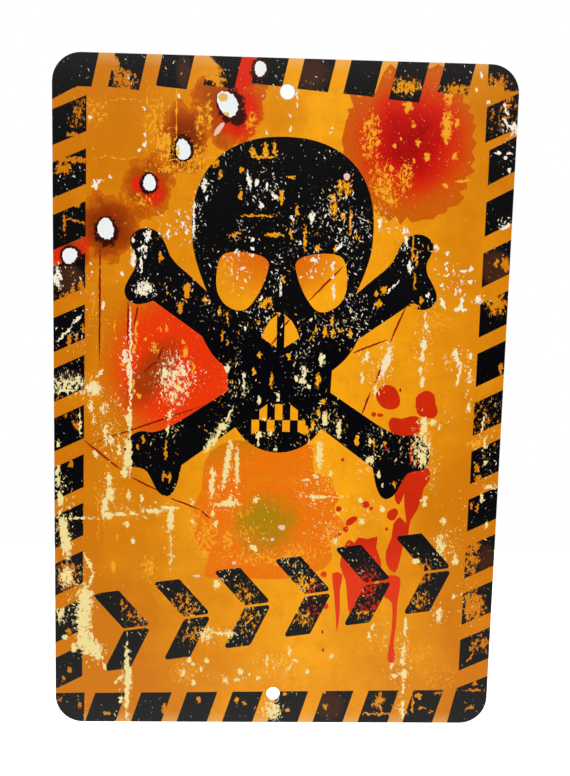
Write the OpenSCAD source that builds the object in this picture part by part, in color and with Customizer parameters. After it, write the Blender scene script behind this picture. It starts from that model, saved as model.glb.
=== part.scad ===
// Novelty danger sign. A portrait aluminium sheet with rounded corners and two
// punched mounting holes, printed all over its front face: hazard bars round the
// edge, a skull and crossbones, a rising row of chevrons, and printed stains,
// splashes and burn marks. The print is flat, and each ink is a thin film.
// The sign stands upright with its printed face towards -Y. The origin is on
// the back face, midway between the two holes.

/* [Sheet] */
// Width of the sign
sign_w = 203.2; // [180:0.1:240]
// Height of the sign
sign_h = 304.8; // [280:0.1:360]
// Thickness of the aluminium sheet
sheet_t = 1.0; // [0.6:0.1:3]
// Radius of the rounded corners
corner_r = 12.7; // [4:0.1:14]
// Chamfer left on the back edges by deburring
edge_break = 0.2; // [0.05:0.05:0.4]

/* [Mounting holes] */
// Diameter of the two holes
hole_d = 6.35; // [4:0.05:8]
// Distance from a hole's centre to the nearest end of the sign
hole_inset = 14.2; // [8:0.1:18]

/* [Print] */
// Thickness of one film of ink
ink_t = 0.06; // [0.03:0.01:0.2]
// Bare ring left between the ink and the edge of each hole
hole_margin = 0.2; // [0.2:0.05:1]

/* [Hazard bars] */
// Depth of the barred border along the left side, halfway up the sign
side_band = 13.5; // [10:0.1:20]
// Lean of the side bars' inner ends to the left of upright, in degrees
band_lean = 0.55; // [0:0.05:1]
// Spacing of the bars along the long sides
side_pitch = 22.65; // [16:0.05:30]
// Height of one side bar
side_bar = 15.2; // [8:0.1:15.8]
// Rise of a side bar across its band
side_rise = 6.4; // [3:0.1:12]
// Spacing of the bars along the top
top_pitch = 20.4; // [16:0.1:26]
// Width of one top bar
top_bar = 13.6; // [8:0.1:15.6]
// Lean of the top bars from upright, in degrees
top_lean = 12.6; // [5:0.1:25]
// Depth of the barred border along the bottom
bottom_band = 15.3; // [10:0.1:20]
// Spacing of the bars along the bottom
bottom_pitch = 21.4; // [16:0.1:26]
// Width of one bottom bar
bottom_bar = 14.2; // [8:0.1:15.6]
// Lean of the bottom bars from upright, in degrees
bottom_lean = 17.4; // [5:0.1:25]
// Skew of the bottom bars' heads, in degrees: the row rises to the right
bottom_skew = 0.8; // [0:0.1:2]

/* [Skull and crossbones] */
// Width over the ends of the bones
skull_w = 139.4; // [110:0.1:150]
// Height of the dome's top above the sign's middle
skull_top = 119; // [110:0.5:124]

/* [Chevrons] */
// Number of chevrons in the row
chevron_count = 6; // [3:1:7]
// Height of one chevron
chevron_h = 38; // [24:0.5:42]
// Width of one chevron
chevron_w = 25; // [20:0.5:27]
// Width of a chevron's stroke, measured across the row
chevron_stroke = 12.5; // [6:0.1:14]
// Turn of each chevron, in degrees
chevron_turn = 8.1; // [0:0.1:15]
// Spacing of the chevrons across the sign
chevron_pitch = 27.9; // [27:0.1:30]
// Rise from one chevron to the next
chevron_step = 5.8; // [0:0.1:8]
// Width of the stencil bridge left at each chevron's point
bridge = 1.2; // [0.6:0.1:3]
// Radius of the chevrons' corners
chevron_r = 1.1; // [0.2:0.1:2]

/* [Burn marks] */
// Width of the charred rim round each burn mark
char_rim = 1.1; // [0.8:0.1:2]

/* [Hidden] */
$fn = 48;

half_w = sign_w / 2;
half_h = sign_h / 2;
hole_z = half_h - hole_inset;

// The skull is drawn at this width over the bones and with this dome height
skull_drawn_w = 139.4;
skull_drawn_top = 119;
// The skull sits this far left of the sign's middle
skull_shift = -0.5;

// Depth of each top bar: their feet are cut unevenly
top_depths = [14.2, 13.3, 12.4, 11, 12.8, 14.3, 16.2, 12.5];
foot_drop = 1.1;

// Places of the first bars, measured from the sign's corners
left_first = 24.4;
right_first = 36.9;
right_top_bar = 18.4;
right_top_band = 13.9;
// The right bars are this much shorter than the left ones
right_shift = 0.6;
top_first = 40.7;
bottom_first = 32.6;
end_gap = 13.8;

// Height of the chevron row's middle above the foot of the sign
chevron_row = 59.8;

// Closed smooth outline through the points p, with n steps to a span.
// A point that is given twice makes a sharp corner.
function smooth(p, n = 3) = let (m = len(p)) [
    for (i = [0 : m - 1]) let (a = p[(i + m - 1) % m], b = p[i], c = p[(i + 1) % m], d = p[(i + 2) % m])
        if (b != c) for (j = [0 : n - 1]) spline(a, b, c, d, j / n)];
function spline(a, b, c, d, t) = 0.5 * (2 * b + (c - a) * t + (2 * a - 5 * b + 4 * c - d) * t * t
    + (3 * b - a - 3 * c + d) * t * t * t);

// The points p of a right half, and the same points mirrored, as one closed outline
function both_sides(p) = concat(p, [for (i = [len(p) - 1 : -1 : 0]) [-p[i].x, p[i].y]]);

// Outline of the polygon p with each corner rounded to the radius r
function rounded(p, r, n = 4) = let (m = len(p)) [
    for (i = [0 : m - 1]) let (
        b = p[i],
        u = unit(p[(i + m - 1) % m] - b),
        v = unit(p[(i + 1) % m] - b),
        half = acos(u * v) / 2,
        centre = b + unit(u + v) * r / sin(half),
        start = b + u * r / tan(half) - centre,
        side = sign(start.x * unit(u + v).y - start.y * unit(u + v).x))
        for (j = [0 : n]) centre + turned(start, -side * j / n * (180 - 2 * half))];
function unit(v) = v / norm(v);
function turned(v, a) = [v.x * cos(a) - v.y * sin(a), v.x * sin(a) + v.y * cos(a)];

// Round blot w wide and h high with an uneven edge: wave is the depth of the
// unevenness, and seed sets its form
function blot(w, h, wave, seed, n = 16) = [for (k = [0 : n - 1]) let (
    a = k * 360 / n,
    r = 0.5 * (1 + wave * (sin(2 * a + 40 * seed) + 0.8 * sin(3 * a + 77 * seed) + 0.5 * sin(5 * a + 133 * seed))))
    [w * r * cos(a), h * r * sin(a)]];

// Rim with small teeth, for a burnt edge
function burnt(w, h, seed, n = 30) = [for (k = [0 : n - 1]) let (
    a = k * 360 / n,
    r = 0.5 * (1 + 0.05 * sin(3 * a + 50 * seed) + 0.05 * sin(137.5 * k + 90 * seed) + 0.03 * sin(211 * k)))
    [w * r * cos(a), h * r * sin(a)]];

// Lays its flat shape on the front as a film of ink: level 0 lies on the metal
module film(level) {
    translate([0, -sheet_t - level * ink_t, 0]) rotate([90, 0, 0]) linear_extrude(ink_t) children();
}

// Outline of the sign's face, smaller by inset all round
module face_outline(inset = 0) {
    w = sign_w - 2 * inset;
    h = sign_h - 2 * inset;
    r = corner_r - inset;
    square([w, h - 2 * r], center = true);
    square([w - 2 * r, h], center = true);
    for (x = [-1, 1], z = [-1, 1]) translate([x * (w / 2 - r), z * (h / 2 - r)]) circle(r);
}

// The round places that the ink leaves bare at the two holes
module hole_marks() {
    for (z = [-1, 1]) translate([0, z * hole_z]) circle(hole_d / 2 + hole_margin);
}

// Bars of the left side, counted down from the top corner
module left_bars() {
    count = floor((sign_h - left_first - side_bar - end_gap) / side_pitch) + 1;
    for (k = [0 : count - 1]) {
        z = half_h - left_first - k * side_pitch;
        x = side_band - half_w + z * tan(band_lean);
        polygon([[-half_w, z], [x, z + side_rise], [x, z + side_rise - side_bar], [-half_w, z - side_bar]]);
    }
}

// Bars of the right side. The topmost is out of step and close to the corner piece
module right_bars() {
    right_bar(half_w - right_top_band, half_h - right_top_bar);
    count = floor((sign_h - right_first - side_bar - end_gap) / side_pitch) + 1;
    for (k = [0 : count - 1]) {
        z = half_h - right_first - k * side_pitch;
        right_bar(half_w - side_band + right_shift + z * tan(band_lean), z);
    }
}

module right_bar(x, z) {
    polygon([[x, z], [half_w, z + side_rise], [half_w, z + side_rise - side_bar], [x, z - side_bar]]);
}

// Bars of the top, counted from the left corner
module top_bars() {
    count = floor((sign_w - top_first - end_gap) / top_pitch) + 1;
    for (k = [0 : count - 1]) {
        right = -half_w + top_first + k * top_pitch;
        left = right - top_bar;
        depth = top_depths[k % len(top_depths)];
        low = depth + foot_drop;
        polygon([[left, half_h], [right, half_h], [right - low * tan(top_lean), half_h - low],
            [left - depth * tan(top_lean), half_h - depth]]);
    }
}

// Bars of the bottom, counted from the left corner
module bottom_bars() {
    count = floor((sign_w - bottom_first - end_gap) / bottom_pitch) + 1;
    lean = bottom_band * tan(bottom_lean);
    for (k = [0 : count - 1]) {
        right = -half_w + bottom_first + k * bottom_pitch;
        left = right - bottom_bar;
        z = -half_h + bottom_band;
        polygon([[left, z + left * tan(bottom_skew)], [right, z + right * tan(bottom_skew)],
            [right - lean, -half_h], [left - lean, -half_h]]);
    }
}

// The four black corner pieces, each drawn from its own corner of the sign
module corner_pieces() {
    translate([-half_w, half_h])
        polygon([[0, 0], [20.1, 0], [16.9, -14.4], [11.2, -14.4], [8.6, -15.4], [0, -20.2]]);
    translate([half_w, half_h])
        polygon([[0, 0], [-14.1, 0], [-14.1, -9.2], [-7, -9.2], [-6.2, -11.7], [0, -11]]);
    translate([-half_w, -half_h])
        polygon([[0, 0], [13, 0], [13.4, 14.3], [0, 13.9]]);
    translate([half_w, -half_h])
        polygon([[0, 0], [-18.4, 0], [-14.6, 17.4], [0, 23.6]]);
}

// Right half of the head's outline, from the dome down to the mouth
head_half = [[4, 118.9], [12, 117.9], [20.5, 115.1], [28, 110.4], [34, 103.8], [38, 95.5], [39.9, 86.5],
    [40.2, 78], [39.6, 70], [37.7, 62.5], [35.2, 55.5], [33.2, 50.6], [33.2, 50.6], [35, 30.5], [35, 30.5],
    [33, 26.5], [30.2, 22.3], [26.8, 18.7], [23.6, 16], [23.6, 16], [23.2, 6], [23.2, 6], [12, -8], [12, -8]];

// Right upper bone: its hidden root lies in the head
upper_bone = [[22, 40], [22, 40], [33.2, 50.6], [33.2, 50.6], [41, 57.6], [46.4, 62.2], [49.7, 66.3],
    [51.7, 71], [54.8, 76], [59.5, 78], [64.3, 76.9], [67.3, 73.3], [66.3, 69], [64.6, 65], [65.1, 60.5],
    [67.7, 55.8], [69.7, 51], [68.6, 46.7], [64.5, 44.4], [60.5, 44.9], [57, 46.1], [57, 46.1],
    [35, 30.5], [35, 30.5], [20, 26], [20, 26]];

// Right lower bone: its hidden root lies in the jaw
lower_bone = [[12, -2], [12, -2], [23.2, 6], [23.2, 6], [30.5, 1.2], [38, -3.8], [45.5, -8.7],
    [51.5, -11.9], [57, -13.5], [62, -13.1], [66.5, -15.2], [69.3, -20], [69.4, -25.3], [67, -29.2],
    [62.8, -30], [59.5, -31.6], [57, -36], [54.3, -41], [50.8, -43.2], [48, -42], [45.7, -37.5],
    [44.4, -32], [43.7, -28.6], [43.7, -28.6], [20, -11], [20, -11], [10, -8], [10, -8]];

right_eye = [[18, 68.6], [25.3, 67.7], [28.1, 64.3], [29.2, 57.5], [28.7, 51], [26, 46], [21.8, 43.1],
    [18, 42.4], [14.6, 44], [10.6, 49.5], [8, 55], [6.3, 60.5], [6.1, 64.2], [9.6, 67]];

right_nostril = [[1.7, 41], [5, 38.2], [7.4, 34], [8.6, 30.6], [1.7, 26]];

// The mouth's outline, which trims the teeth
mouth_half = [[5.2, 0.3], [8.75, -2.4], [8.75, -6.3], [12.2, -6.3], [12.6, -14], [9.2, -12.4]];
tooth_w = 3.5;
tooth_top = 0.3;
tooth_split = -7;
tooth_low = -12.6;

jaw_r = 22.1;

// Chequered teeth in two rows, shown as gaps in the black
module teeth() {
    intersection() {
        polygon(both_sides(mouth_half));
        for (k = [-3 : 3]) {
            even = k % 2 == 0;
            low = even ? tooth_split : tooth_low - 2;
            high = even ? tooth_top : tooth_split;
            translate([(k - 0.5) * tooth_w, low]) square([tooth_w, high - low]);
        }
    }
}

module left_and_right() {
    children();
    mirror([1, 0]) children();
}

// The common hazard pictogram of a skull in front of two crossed bones
module skull_and_crossbones() {
    s = skull_w / skull_drawn_w;
    translate([skull_shift, skull_top - s * skull_drawn_top]) scale(s) difference() {
        union() {
            polygon(smooth(both_sides(head_half)));
            circle(jaw_r);
            left_and_right() {
                polygon(smooth(upper_bone));
                polygon(smooth(lower_bone));
            }
        }
        left_and_right() {
            polygon(smooth(right_eye));
            polygon(right_nostril);
        }
        teeth();
    }
}

// One stencilled chevron that points right, cut through at its point
module chevron() {
    tip = chevron_w / 2;
    top = chevron_h / 2;
    cut = bridge / 2;
    slope = (chevron_w - chevron_stroke) / top;
    arm = [[-tip, top], [chevron_stroke - tip, top], [tip - slope * cut, cut],
        [tip - chevron_stroke - slope * cut, cut]];
    polygon(rounded(arm, chevron_r));
    mirror([0, 1]) polygon(rounded(arm, chevron_r));
}

// The rising row of chevrons
module chevron_row() {
    for (k = [0 : chevron_count - 1]) {
        place = k - (chevron_count - 1) / 2;
        height = chevron_row - half_h + place * chevron_step;
        translate([place * chevron_pitch, height]) rotate(chevron_turn) chevron();
    }
}

// Outlines of the splashes that run together, drawn from the sign's middle
splashes = [
    [[43.4, 5.2], [45.5, 9], [48.2, 10], [51.8, 9], [54.2, 5], [54.5, 1], [52, -1.2], [48, -1], [45, 1.2]],
    [[61.7, 4], [64, 6.7], [67, 7.7], [70, 5.8], [71, 1.5], [72.1, -2], [70.4, -4.9], [66, -4.7], [62.6, -2.6]],
    [[49.7, -8], [51.2, -5], [55.5, -5.5], [60, -4.2], [63.4, -4.8], [64.4, -8.8], [62.8, -13.8], [57, -15],
        [51.8, -13]],
    [[66, -27.4], [69.2, -28.8], [69.8, -33.5], [67.4, -37.6], [66, -43.4], [64.4, -48.6], [61.6, -53.6],
        [60.9, -59.6], [58.6, -66], [57.4, -73], [55.4, -78.5], [51.6, -75], [50.8, -68.5], [53.2, -61.5],
        [53.8, -55], [56.8, -51.6], [59.8, -54.8], [58.6, -46.6], [58.2, -40.4], [58.2, -40.4], [56.2, -45.8],
        [54, -43.4], [54.4, -38.6], [58, -32.4], [61.6, -29]],
    [[31.4, -66], [33.6, -62.8], [36, -64.4], [37.8, -61.6], [42, -62.4], [46.6, -61.2], [46.2, -66.4],
        [48.6, -72.5], [48.4, -79], [44.6, -86.4], [42, -96.4], [38.4, -94], [34.8, -98.4], [33.4, -90],
        [32.4, -82], [29.6, -75]],
    [[48, -81], [53, -79.6], [57.8, -80.6], [58, -86], [57.1, -94], [57, -104], [56.1, -113], [57.1, -119.6],
        [55.6, -122.6], [53.6, -121.2], [54.1, -114], [55, -105], [54.7, -93.4], [51.4, -90.6], [49, -87]],
    [[26.2, -79], [31, -79.6], [30, -87], [30.3, -98], [29.2, -107.6], [28.5, -100], [27.2, -88]]];
// Small splashes: centre, width, height, turn in degrees, and the seed of the form
specks = [[53.2, -50.5, 5, 5.8, -20, 8], [34.2, -53.8, 6, 3.4, 35, 2], [31.8, -57.8, 2.4, 3.2, -20, 3],
    [40.6, -46, 3.6, 3.4, 10, 4], [45.8, -4, 3, 1.6, 0, 5]];
// Drops: centre and radius
drops = [[42.8, -3.7, 1.1], [29.3, -25, 0.8], [28.2, -48.2, 1.3], [43.2, -47.8, 0.9], [29, -60, 0.9],
    [27.4, -62, 0.9], [50.7, -57.5, 0.8], [17.6, -95.4, 1.3], [22.2, -79.6, 1.5], [23.6, -95, 1.4]];

module splash_shapes() {
    for (s = splashes) polygon(smooth(s, 2));
    for (s = specks) translate([s[0], s[1]]) rotate(s[4]) polygon(blot(s[2], s[3], 0.07, s[5]));
    for (d = drops) translate([d[0], d[1]]) circle(d[2], $fn = 12);
}

// Fields of orange-red stain under the black. The top one is drawn from the sign's
// top right corner, the left one from its left side, and the low one from its middle
top_stain = [[-74.5, -14.6], [-71.2, -14.8], [-70.6, -15.6], [-63.2, -13.6], [-59.3, -3], [-57, -1.2],
    [-54.4, -3.4], [-39.5, -2.6], [-36.2, -0.6], [-33.6, -2], [-32.7, -11.8], [-26.8, -10.8], [-24.4, -12.6],
    [-24.6, -16.6], [-20.8, -18], [-22.1, -20.6], [-19.2, -22], [-19.8, -25], [-18.3, -26.6], [-20, -31.2],
    [-17.6, -34], [-19.7, -37.6], [-18, -41], [-20, -44], [-17.6, -46.2], [-21.8, -48.6], [-20.8, -53.8],
    [-24.4, -55.2], [-21.9, -57.8], [-25.4, -61.4], [-28.6, -62], [-30.2, -64.8], [-33.6, -65.4],
    [-35.4, -67.6], [-39.8, -67.8], [-45, -69.2], [-47.2, -66.8], [-50, -70.4], [-52.2, -66.4], [-55, -69],
    [-57.2, -66.8], [-62.5, -66.6], [-63.5, -59], [-77.6, -42.8], [-76.2, -38.2], [-77.4, -34.6],
    [-75.8, -26.4], [-74.4, -22.6], [-75.4, -21], [-72.4, -20]];
left_stain = [[22.5, 30], [25.5, 42], [37.5, 49], [53.5, 46], [71.5, 34], [81.5, 16], [77.5, 4], [59.5, -10],
    [39.5, -16], [25.5, -9], [20.5, 8]];
low_stain = [[-14, -17], [12.2, -18], [15.8, -20.6], [16.2, -31], [24.6, -33.6], [25.6, -38], [28.2, -43.6],
    [26.2, -46.8], [27, -51], [31.4, -55.2], [28.4, -60.8], [24.6, -63.6], [25.8, -70], [22, -77], [4, -82],
    [-18, -81.5], [-31.5, -82], [-33, -77.5], [-31.2, -72], [-36, -65.5], [-38.6, -58], [-38, -47.5],
    [-34.8, -39.5], [-34.4, -31], [-31, -22], [-22, -17]];

module stain_shapes() {
    translate([half_w, half_h]) polygon(top_stain);
    translate([-half_w, 0]) polygon(smooth(left_stain));
    polygon(smooth(low_stain, 2));
}

// Burn marks: distance from the left side, depth below the top, width and height of
// the white middle, turn, seed of the form, and how far the charred rim is off centre
burns = [[89.6, 4.8, 5, 6.6, 0, 1, [0, -0.2]], [75.7, 20, 8.2, 11.6, 30, 2, [0.7, -0.6]],
    [56.6, 40.1, 6.4, 9, 8, 3, [0.3, 0.4]], [42.1, 54.7, 5.4, 7.2, 4, 4, [-0.4, -0.2]],
    [23.1, 75.1, 7, 9.4, 10, 5, [0, -0.5]], [7.3, 87.2, 6.3, 7.2, -30, 6, [0.1, 0]]];

module burn_middles() {
    for (b = burns) translate([b[0] - half_w, half_h - b[1]]) rotate(b[4]) polygon(burnt(b[2], b[3], b[5]));
}

// The burn marks out to the edge of their charred rims
module burn_marks() {
    for (b = burns) translate([b[0] - half_w, half_h - b[1]] + b[6]) rotate(b[4])
        polygon(burnt(b[2] + 2 * char_rim, b[3] + 2 * char_rim, b[5]));
}

// All the black ink before the burn marks are cut from it
module black_shapes() {
    intersection() {
        face_outline();
        union() {
            left_bars();
            right_bars();
            top_bars();
            bottom_bars();
            corner_pieces();
            skull_and_crossbones();
            chevron_row();
        }
    }
}

// Sheet of aluminium: its front edges are square and its back edges are chamfered
module sign_blank() {
    inner = edge_break;
    x = half_w - corner_r;
    z = half_h - corner_r;
    color([0.80, 0.81, 0.82]) difference() {
        union() {
            translate([0, -edge_break, 0]) rotate([90, 0, 0]) linear_extrude(sheet_t - edge_break) face_outline();
            // The chamfered back layer: two tapered strips and four corner cones
            translate([0, 0, -z]) linear_extrude(2 * z)
                polygon([[inner - half_w, 0], [half_w - inner, 0], [half_w, -edge_break], [-half_w, -edge_break]]);
            translate([-x, 0, 0]) rotate([90, 0, 90]) linear_extrude(2 * x)
                polygon([[0, inner - half_h], [0, half_h - inner], [-edge_break, half_h], [-edge_break, -half_h]]);
            for (i = [-1, 1], k = [-1, 1]) translate([i * x, 0, k * z]) rotate([90, 0, 0])
                cylinder(h = edge_break, r1 = corner_r - inner, r2 = corner_r);
        }
        for (k = [-1, 1]) translate([0, 0, k * hole_z]) rotate([90, 0, 0]) {
            translate([0, 0, -1]) cylinder(h = sheet_t + 2, d = hole_d);
            translate([0, 0, -1]) cylinder(h = 1 + edge_break, r1 = hole_d / 2 + edge_break + 1, r2 = hole_d / 2);
        }
    }
}

// Orange ground over the whole face
module ground_print() {
    color([0.92, 0.56, 0.05]) film(0) difference() {
        face_outline();
        hole_marks();
    }
}

module stain_print() {
    color([0.86, 0.34, 0.03]) film(1) difference() {
        intersection() {
            face_outline();
            stain_shapes();
        }
        splash_shapes();
        black_shapes();
        burn_marks();
        hole_marks();
    }
}

module splash_print() {
    color([0.86, 0.17, 0.03]) film(1) difference() {
        splash_shapes();
        black_shapes();
    }
}

module black_print() {
    color([0.06, 0.06, 0.07]) film(1) difference() {
        black_shapes();
        burn_marks();
        hole_marks();
    }
}

module char_print() {
    color([0.22, 0.04, 0.02]) film(1) difference() {
        burn_marks();
        burn_middles();
    }
}

module white_print() {
    color([0.94, 0.95, 0.94]) film(1) burn_middles();
}

sign_blank();
ground_print();
stain_print();
splash_print();
black_print();
char_print();
white_print();
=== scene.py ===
import math

import bpy
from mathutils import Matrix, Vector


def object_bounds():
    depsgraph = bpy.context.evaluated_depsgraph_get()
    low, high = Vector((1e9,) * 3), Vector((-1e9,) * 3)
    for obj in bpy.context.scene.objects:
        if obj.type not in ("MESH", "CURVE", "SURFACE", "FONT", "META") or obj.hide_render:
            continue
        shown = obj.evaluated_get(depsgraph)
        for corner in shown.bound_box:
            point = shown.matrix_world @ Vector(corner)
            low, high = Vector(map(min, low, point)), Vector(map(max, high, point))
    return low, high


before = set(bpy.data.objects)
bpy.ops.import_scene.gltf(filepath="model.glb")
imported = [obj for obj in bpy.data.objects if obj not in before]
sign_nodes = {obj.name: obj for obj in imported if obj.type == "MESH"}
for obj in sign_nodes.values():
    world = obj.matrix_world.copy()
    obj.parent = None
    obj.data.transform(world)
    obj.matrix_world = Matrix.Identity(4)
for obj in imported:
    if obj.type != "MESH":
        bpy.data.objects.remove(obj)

cad_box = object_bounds()

# Sign blank. A sheet of mill finished aluminium, sheared to size with rounded corners and
# punched for two screws. It is bare on its back, on its edges and in the holes, and the
# rolls have left fine lines in it that run along its height.


def join(tree, value, socket):
    """Links a socket to another, or sets it to a plain value."""
    if isinstance(value, bpy.types.NodeSocket):
        tree.links.new(value, socket)
    else:
        socket.default_value = value


def calc(tree, operation, *values, clamp=False):
    """One step of arithmetic on numbers, as a Math node."""
    node = tree.nodes.new("ShaderNodeMath")
    node.operation = operation
    node.use_clamp = clamp
    for value, socket in zip(values, node.inputs):
        join(tree, value, socket)
    return node.outputs[0]


def vector(tree, operation, *values):
    """The same for vectors, as a Vector Math node."""
    node = tree.nodes.new("ShaderNodeVectorMath")
    node.operation = operation
    for value, socket in zip(values, node.inputs):
        join(tree, value, socket)
    return node.outputs["Value" if operation in ("DOT_PRODUCT", "LENGTH") else "Vector"]


def blend(tree, share, below, above):
    """Lays one colour over another, by a share from 0 to 1."""
    node = tree.nodes.new("ShaderNodeMix")
    node.data_type = "RGBA"
    join(tree, share, node.inputs[0])
    join(tree, below, node.inputs[6])
    join(tree, above, node.inputs[7])
    return node.outputs[2]


def face_place(tree):
    """The place on the sign's face in millimetres: across, up, and 1 as the third value."""
    coordinates = tree.nodes.new("ShaderNodeTexCoord")
    split = tree.nodes.new("ShaderNodeSeparateXYZ")
    tree.links.new(coordinates.outputs["Object"], split.inputs[0])
    place = tree.nodes.new("ShaderNodeCombineXYZ")
    join(tree, calc(tree, "MULTIPLY", split.outputs[0], 1000), place.inputs[0])
    join(tree, calc(tree, "MULTIPLY", split.outputs[2], 1000), place.inputs[1])
    place.inputs[2].default_value = 1
    return place.outputs[0]


def noise(tree, place, size, seed, stretch=1, detail=3, roughness=0.55, output="Fac"):
    """Noise with features of this size in millimetres, stretched up the sign if asked."""
    node = tree.nodes.new("ShaderNodeTexNoise")
    node.noise_dimensions = "2D"
    scale = (1 / size, 1 / (size * stretch), 0)
    scaled = vector(tree, "MULTIPLY_ADD", place, scale, (seed, 2 * seed, 0))
    tree.links.new(scaled, node.inputs["Vector"])
    node.inputs["Scale"].default_value = 1
    node.inputs["Detail"].default_value = detail
    node.inputs["Roughness"].default_value = roughness
    return node.outputs[output]


def new_finish(name):
    """A new material and its shader."""
    material = bpy.data.materials.new(name)
    material.use_nodes = True
    return material, material.node_tree, material.node_tree.nodes["Principled BSDF"]


def coat_node(name, material):
    """Gives a CAD node this material all over."""
    slots = sign_nodes[name].data.materials
    for i in range(len(slots)):
        slots[i] = material
    if not slots:
        slots.append(material)


def roll_lines(tree, place, shader, height, seed):
    """Bump of the faint lines that rolling leaves in a metal sheet."""
    lines = noise(tree, place, 0.5, seed, stretch=60, detail=4)
    waves = noise(tree, place, 9, seed + 3, stretch=5, detail=1)
    bump = tree.nodes.new("ShaderNodeBump")
    bump.inputs["Distance"].default_value = height
    bump.inputs["Strength"].default_value = 0.6
    tree.links.new(calc(tree, "MULTIPLY_ADD", waves, 1.5, lines), bump.inputs["Height"])
    tree.links.new(bump.outputs[0], shader.inputs["Normal"])


DULL_GREY = (0.60, 0.61, 0.63, 1)
BRIGHT_GREY = (0.86, 0.87, 0.88, 1)
CLOUD_GREY = (0.66, 0.67, 0.69, 1)
# Height of the rolling lines in metres
BARE_LINES = 0.00001

metal, tree, shader = new_finish("mill_finish")
place = face_place(tree)
grain = noise(tree, place, 0.6, 11, stretch=50, detail=5)
clouds = noise(tree, place, 30, 12, stretch=3, detail=3)
tone = blend(tree, grain, DULL_GREY, BRIGHT_GREY)
tone = blend(tree, calc(tree, "MULTIPLY", clouds, 0.35), tone, CLOUD_GREY)
join(tree, tone, shader.inputs["Base Color"])
join(tree, calc(tree, "MULTIPLY_ADD", grain, 0.22, 0.28), shader.inputs["Roughness"])
shader.inputs["Metallic"].default_value = 1
roll_lines(tree, place, shader, BARE_LINES, 5)
coat_node("sign_blank", metal)

# Ground print. Orange ink over the whole face, printed a little darker towards the sides,
# mottled, with scorched rings round the burn marks, paler flecks, bare cream streaks and
# thin dark red cracks. All of it is flat ink under one glossy film, except for a painted
# reflection that makes it paler at the top and bottom ends.


def shade(red, green, blue):
    """The colour that has these 8-bit values on a screen, in Blender's linear values."""
    parts = [value / 255 for value in (red, green, blue)]
    return [v / 12.92 if v <= 0.04045 else ((v + 0.055) / 1.055) ** 2.4 for v in parts] + [1]


# Colours of the inks, as they look on the sign
EDGE_ORANGE = shade(212, 121, 0)
MID_ORANGE = shade(255, 170, 12)
PALE_ORANGE = shade(248, 168, 32)
CREAM = shade(244, 225, 154)
CRACK_RED = shade(150, 12, 0)
PINK = shade(244, 196, 176)
# Painted reflection: the pale orange that the orange ink turns to at the top and bottom ends of the
# sign
PAINTED_SHEEN_ORANGE = shade(242, 200, 130)
EYE_ORANGE = shade(222, 94, 0)
OUTER_RING = shade(204, 101, 0)
INNER_RING = shade(190, 84, 0)
RING_BROWN = shade(140, 46, 0)
RING_RED = shade(224, 38, 4)
SINGED_BROWN = shade(56, 11, 4)
UPPER_CREAM = shade(250, 243, 224)
# Roughness of the gloss over the inks, and the height of the rolling lines under it in metres
GLOSS = 0.16
COVERED_LINES = 0.000004
# How crisp the edges of the torn patches and of the flecks are
TEAR_STEEPNESS = 7
FLECK_STEEPNESS = 14
# Height that the noise has to reach for a fleck to show
FLECK_LEVEL = 0.82


def sharpen(tree, value, level, steepness):
    """Turns a value into 0 below this level and 1 above it, over a step of 1 / steepness."""
    return calc(tree, "MULTIPLY_ADD", value, steepness, -steepness * level, clamp=True)


def group_of(name, output, make):
    """A node group that turns a place into one value, as the function make lays it out."""
    group = bpy.data.node_groups.new(name, "ShaderNodeTree")
    group.interface.new_socket("Place", in_out="INPUT", socket_type="NodeSocketVector")
    group.interface.new_socket(output, in_out="OUTPUT", socket_type="NodeSocketFloat")
    start = group.nodes.new("NodeGroupInput")
    end = group.nodes.new("NodeGroupOutput")
    join(group, make(group, start.outputs[0]), end.inputs[0])
    return group


def use(tree, group, place):
    """Adds the group to a material and gives its value at this place."""
    node = tree.nodes.new("ShaderNodeGroup")
    node.node_tree = group
    tree.links.new(place, node.inputs[0])
    return node.outputs[0]


def marks(tree, place, spots):
    """Field that is highest in the middle of each mark, 0 at its outline and -1 away from all.
    Three marks at a time share one vector, one in each of its parts."""
    def lay_out(group, start):
        across = vector(group, "DOT_PRODUCT", start, (1, 0, 0))
        up = vector(group, "DOT_PRODUCT", start, (0, 1, 0))
        along = group.nodes.new("ShaderNodeCombineXYZ")
        high = group.nodes.new("ShaderNodeCombineXYZ")
        for i in range(3):
            join(group, across, along.inputs[i])
            join(group, up, high.inputs[i])
        field = (-1, -1, -1)
        rows = []
        # A mark that gives no turn or strength is upright and at full strength
        for spot in spots:
            x, z, wide, tall, turn, height = (*spot, *(0, 1)[len(spot) - 4:])
            half_w, half_h = wide / 2, tall / 2
            c, s = math.cos(math.radians(turn)), math.sin(math.radians(turn))
            rows.append((c / half_w, s / half_w, -(c * x + s * z) / half_w,
                         -s / half_h, c / half_h, (s * x - c * z) / half_h, -height, height))
        # Upright marks come first, because three of them together need fewer steps
        rows.sort(key=lambda row: row[1] != 0)
        while len(rows) % 3:
            rows.append(rows[-1])
        for i in range(0, len(rows), 3):
            ux, uz, u0, vx, vz, v0, fall, peak = zip(*rows[i:i + 3])
            u = vector(group, "MULTIPLY_ADD", along.outputs[0], ux, u0)
            v = vector(group, "MULTIPLY_ADD", high.outputs[0], vz, v0)
            if any(uz):
                u = vector(group, "MULTIPLY_ADD", high.outputs[0], uz, u)
                v = vector(group, "MULTIPLY_ADD", along.outputs[0], vx, v)
            square = vector(group, "MULTIPLY_ADD", v, v, vector(group, "MULTIPLY", u, u))
            field = vector(group, "MAXIMUM", vector(group, "MULTIPLY_ADD", square, fall, peak), field)
        parts = group.nodes.new("ShaderNodeSeparateXYZ")
        join(group, field, parts.inputs[0])
        lower = calc(group, "MAXIMUM", parts.outputs[1], parts.outputs[2])
        return calc(group, "MAXIMUM", parts.outputs[0], lower)
    return use(tree, group_of("marks", "Height", lay_out), place)


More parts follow.
